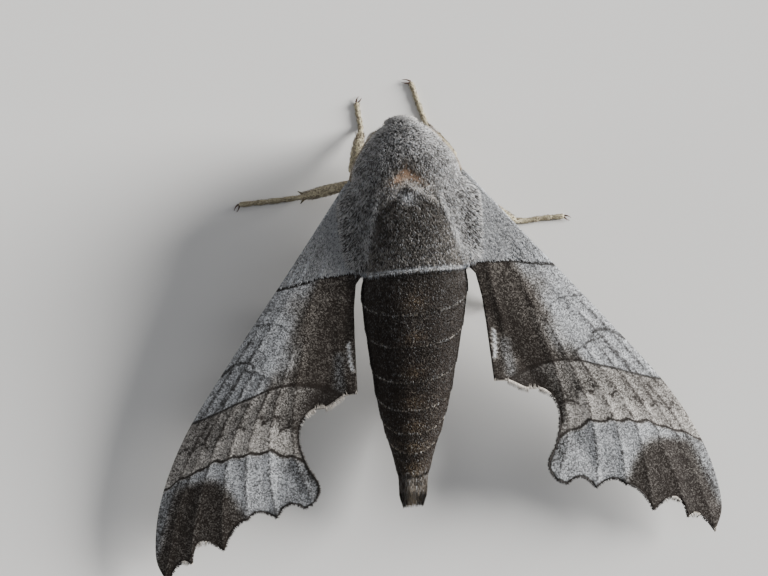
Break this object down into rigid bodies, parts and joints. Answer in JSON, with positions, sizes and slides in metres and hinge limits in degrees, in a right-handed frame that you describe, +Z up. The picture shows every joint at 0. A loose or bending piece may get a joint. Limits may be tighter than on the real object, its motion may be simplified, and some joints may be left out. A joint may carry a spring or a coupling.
{
  "type": "hawk moth",
  "caption": "Life-size grey hawk moth at rest with its scalloped forewings held back like a roof, a still display model that stands on its feet.",
  "frame": {"origin": "middle of the box on the floor, under the abdomen's root", "axes": "+X towards the moth's left wing, +Y towards the tail, +Z up"},
  "size_m": [0.066, 0.056, 0.0159],
  "materials": {
    "thorax_coat": "grey scale-hair, frosted with white tips",
    "abdomen_coat": "dark brown scale coat with fine pale fringes",
    "forewing": "matte dusting of grey, white and dark brown scales",
    "hindwing": "matte brown scales",
    "leg": "pale straw scales over horn",
    "antenna": "pale brown scaled shaft",
    "eye": "dark glossy facets"
  },
  "bodies": {
    "root": {"abdomen_1": "abdomen_coat", "abdomen_2": "abdomen_coat", "abdomen_3": "abdomen_coat", "abdomen_4": "abdomen_coat", "abdomen_5": "abdomen_coat", "abdomen_6": "abdomen_coat", "abdomen_7": "abdomen_coat", "antenna_left": "antenna", "antenna_right": "antenna", "collar": "thorax_coat", "eye_left": "eye", "eye_right": "eye", "foreleg_femur_left": "leg", "foreleg_femur_right": "leg", "foreleg_foot_left": "leg", "foreleg_foot_right": "leg", "foreleg_tibia_left": "leg", "foreleg_tibia_right": "leg", "forewing_left": "forewing", "forewing_right": "forewing", "head": "thorax_coat", "hindleg_femur_left": "leg", "hindleg_femur_right": "leg", "hindleg_foot_left": "leg", "hindleg_foot_right": "leg", "hindleg_tibia_left": "leg", "hindleg_tibia_right": "leg", "hindwing_left": "hindwing", "hindwing_right": "hindwing", "midleg_femur_left": "leg", "midleg_femur_right": "leg", "midleg_foot_left": "leg", "midleg_foot_right": "leg", "midleg_tibia_left": "leg", "midleg_tibia_right": "leg", "palp_left": "thorax_coat", "palp_right": "thorax_coat", "tail_tuft": "abdomen_coat", "tegula_left": "thorax_coat", "tegula_right": "thorax_coat", "thorax": "thorax_coat"}
  },
  "joints": []
}
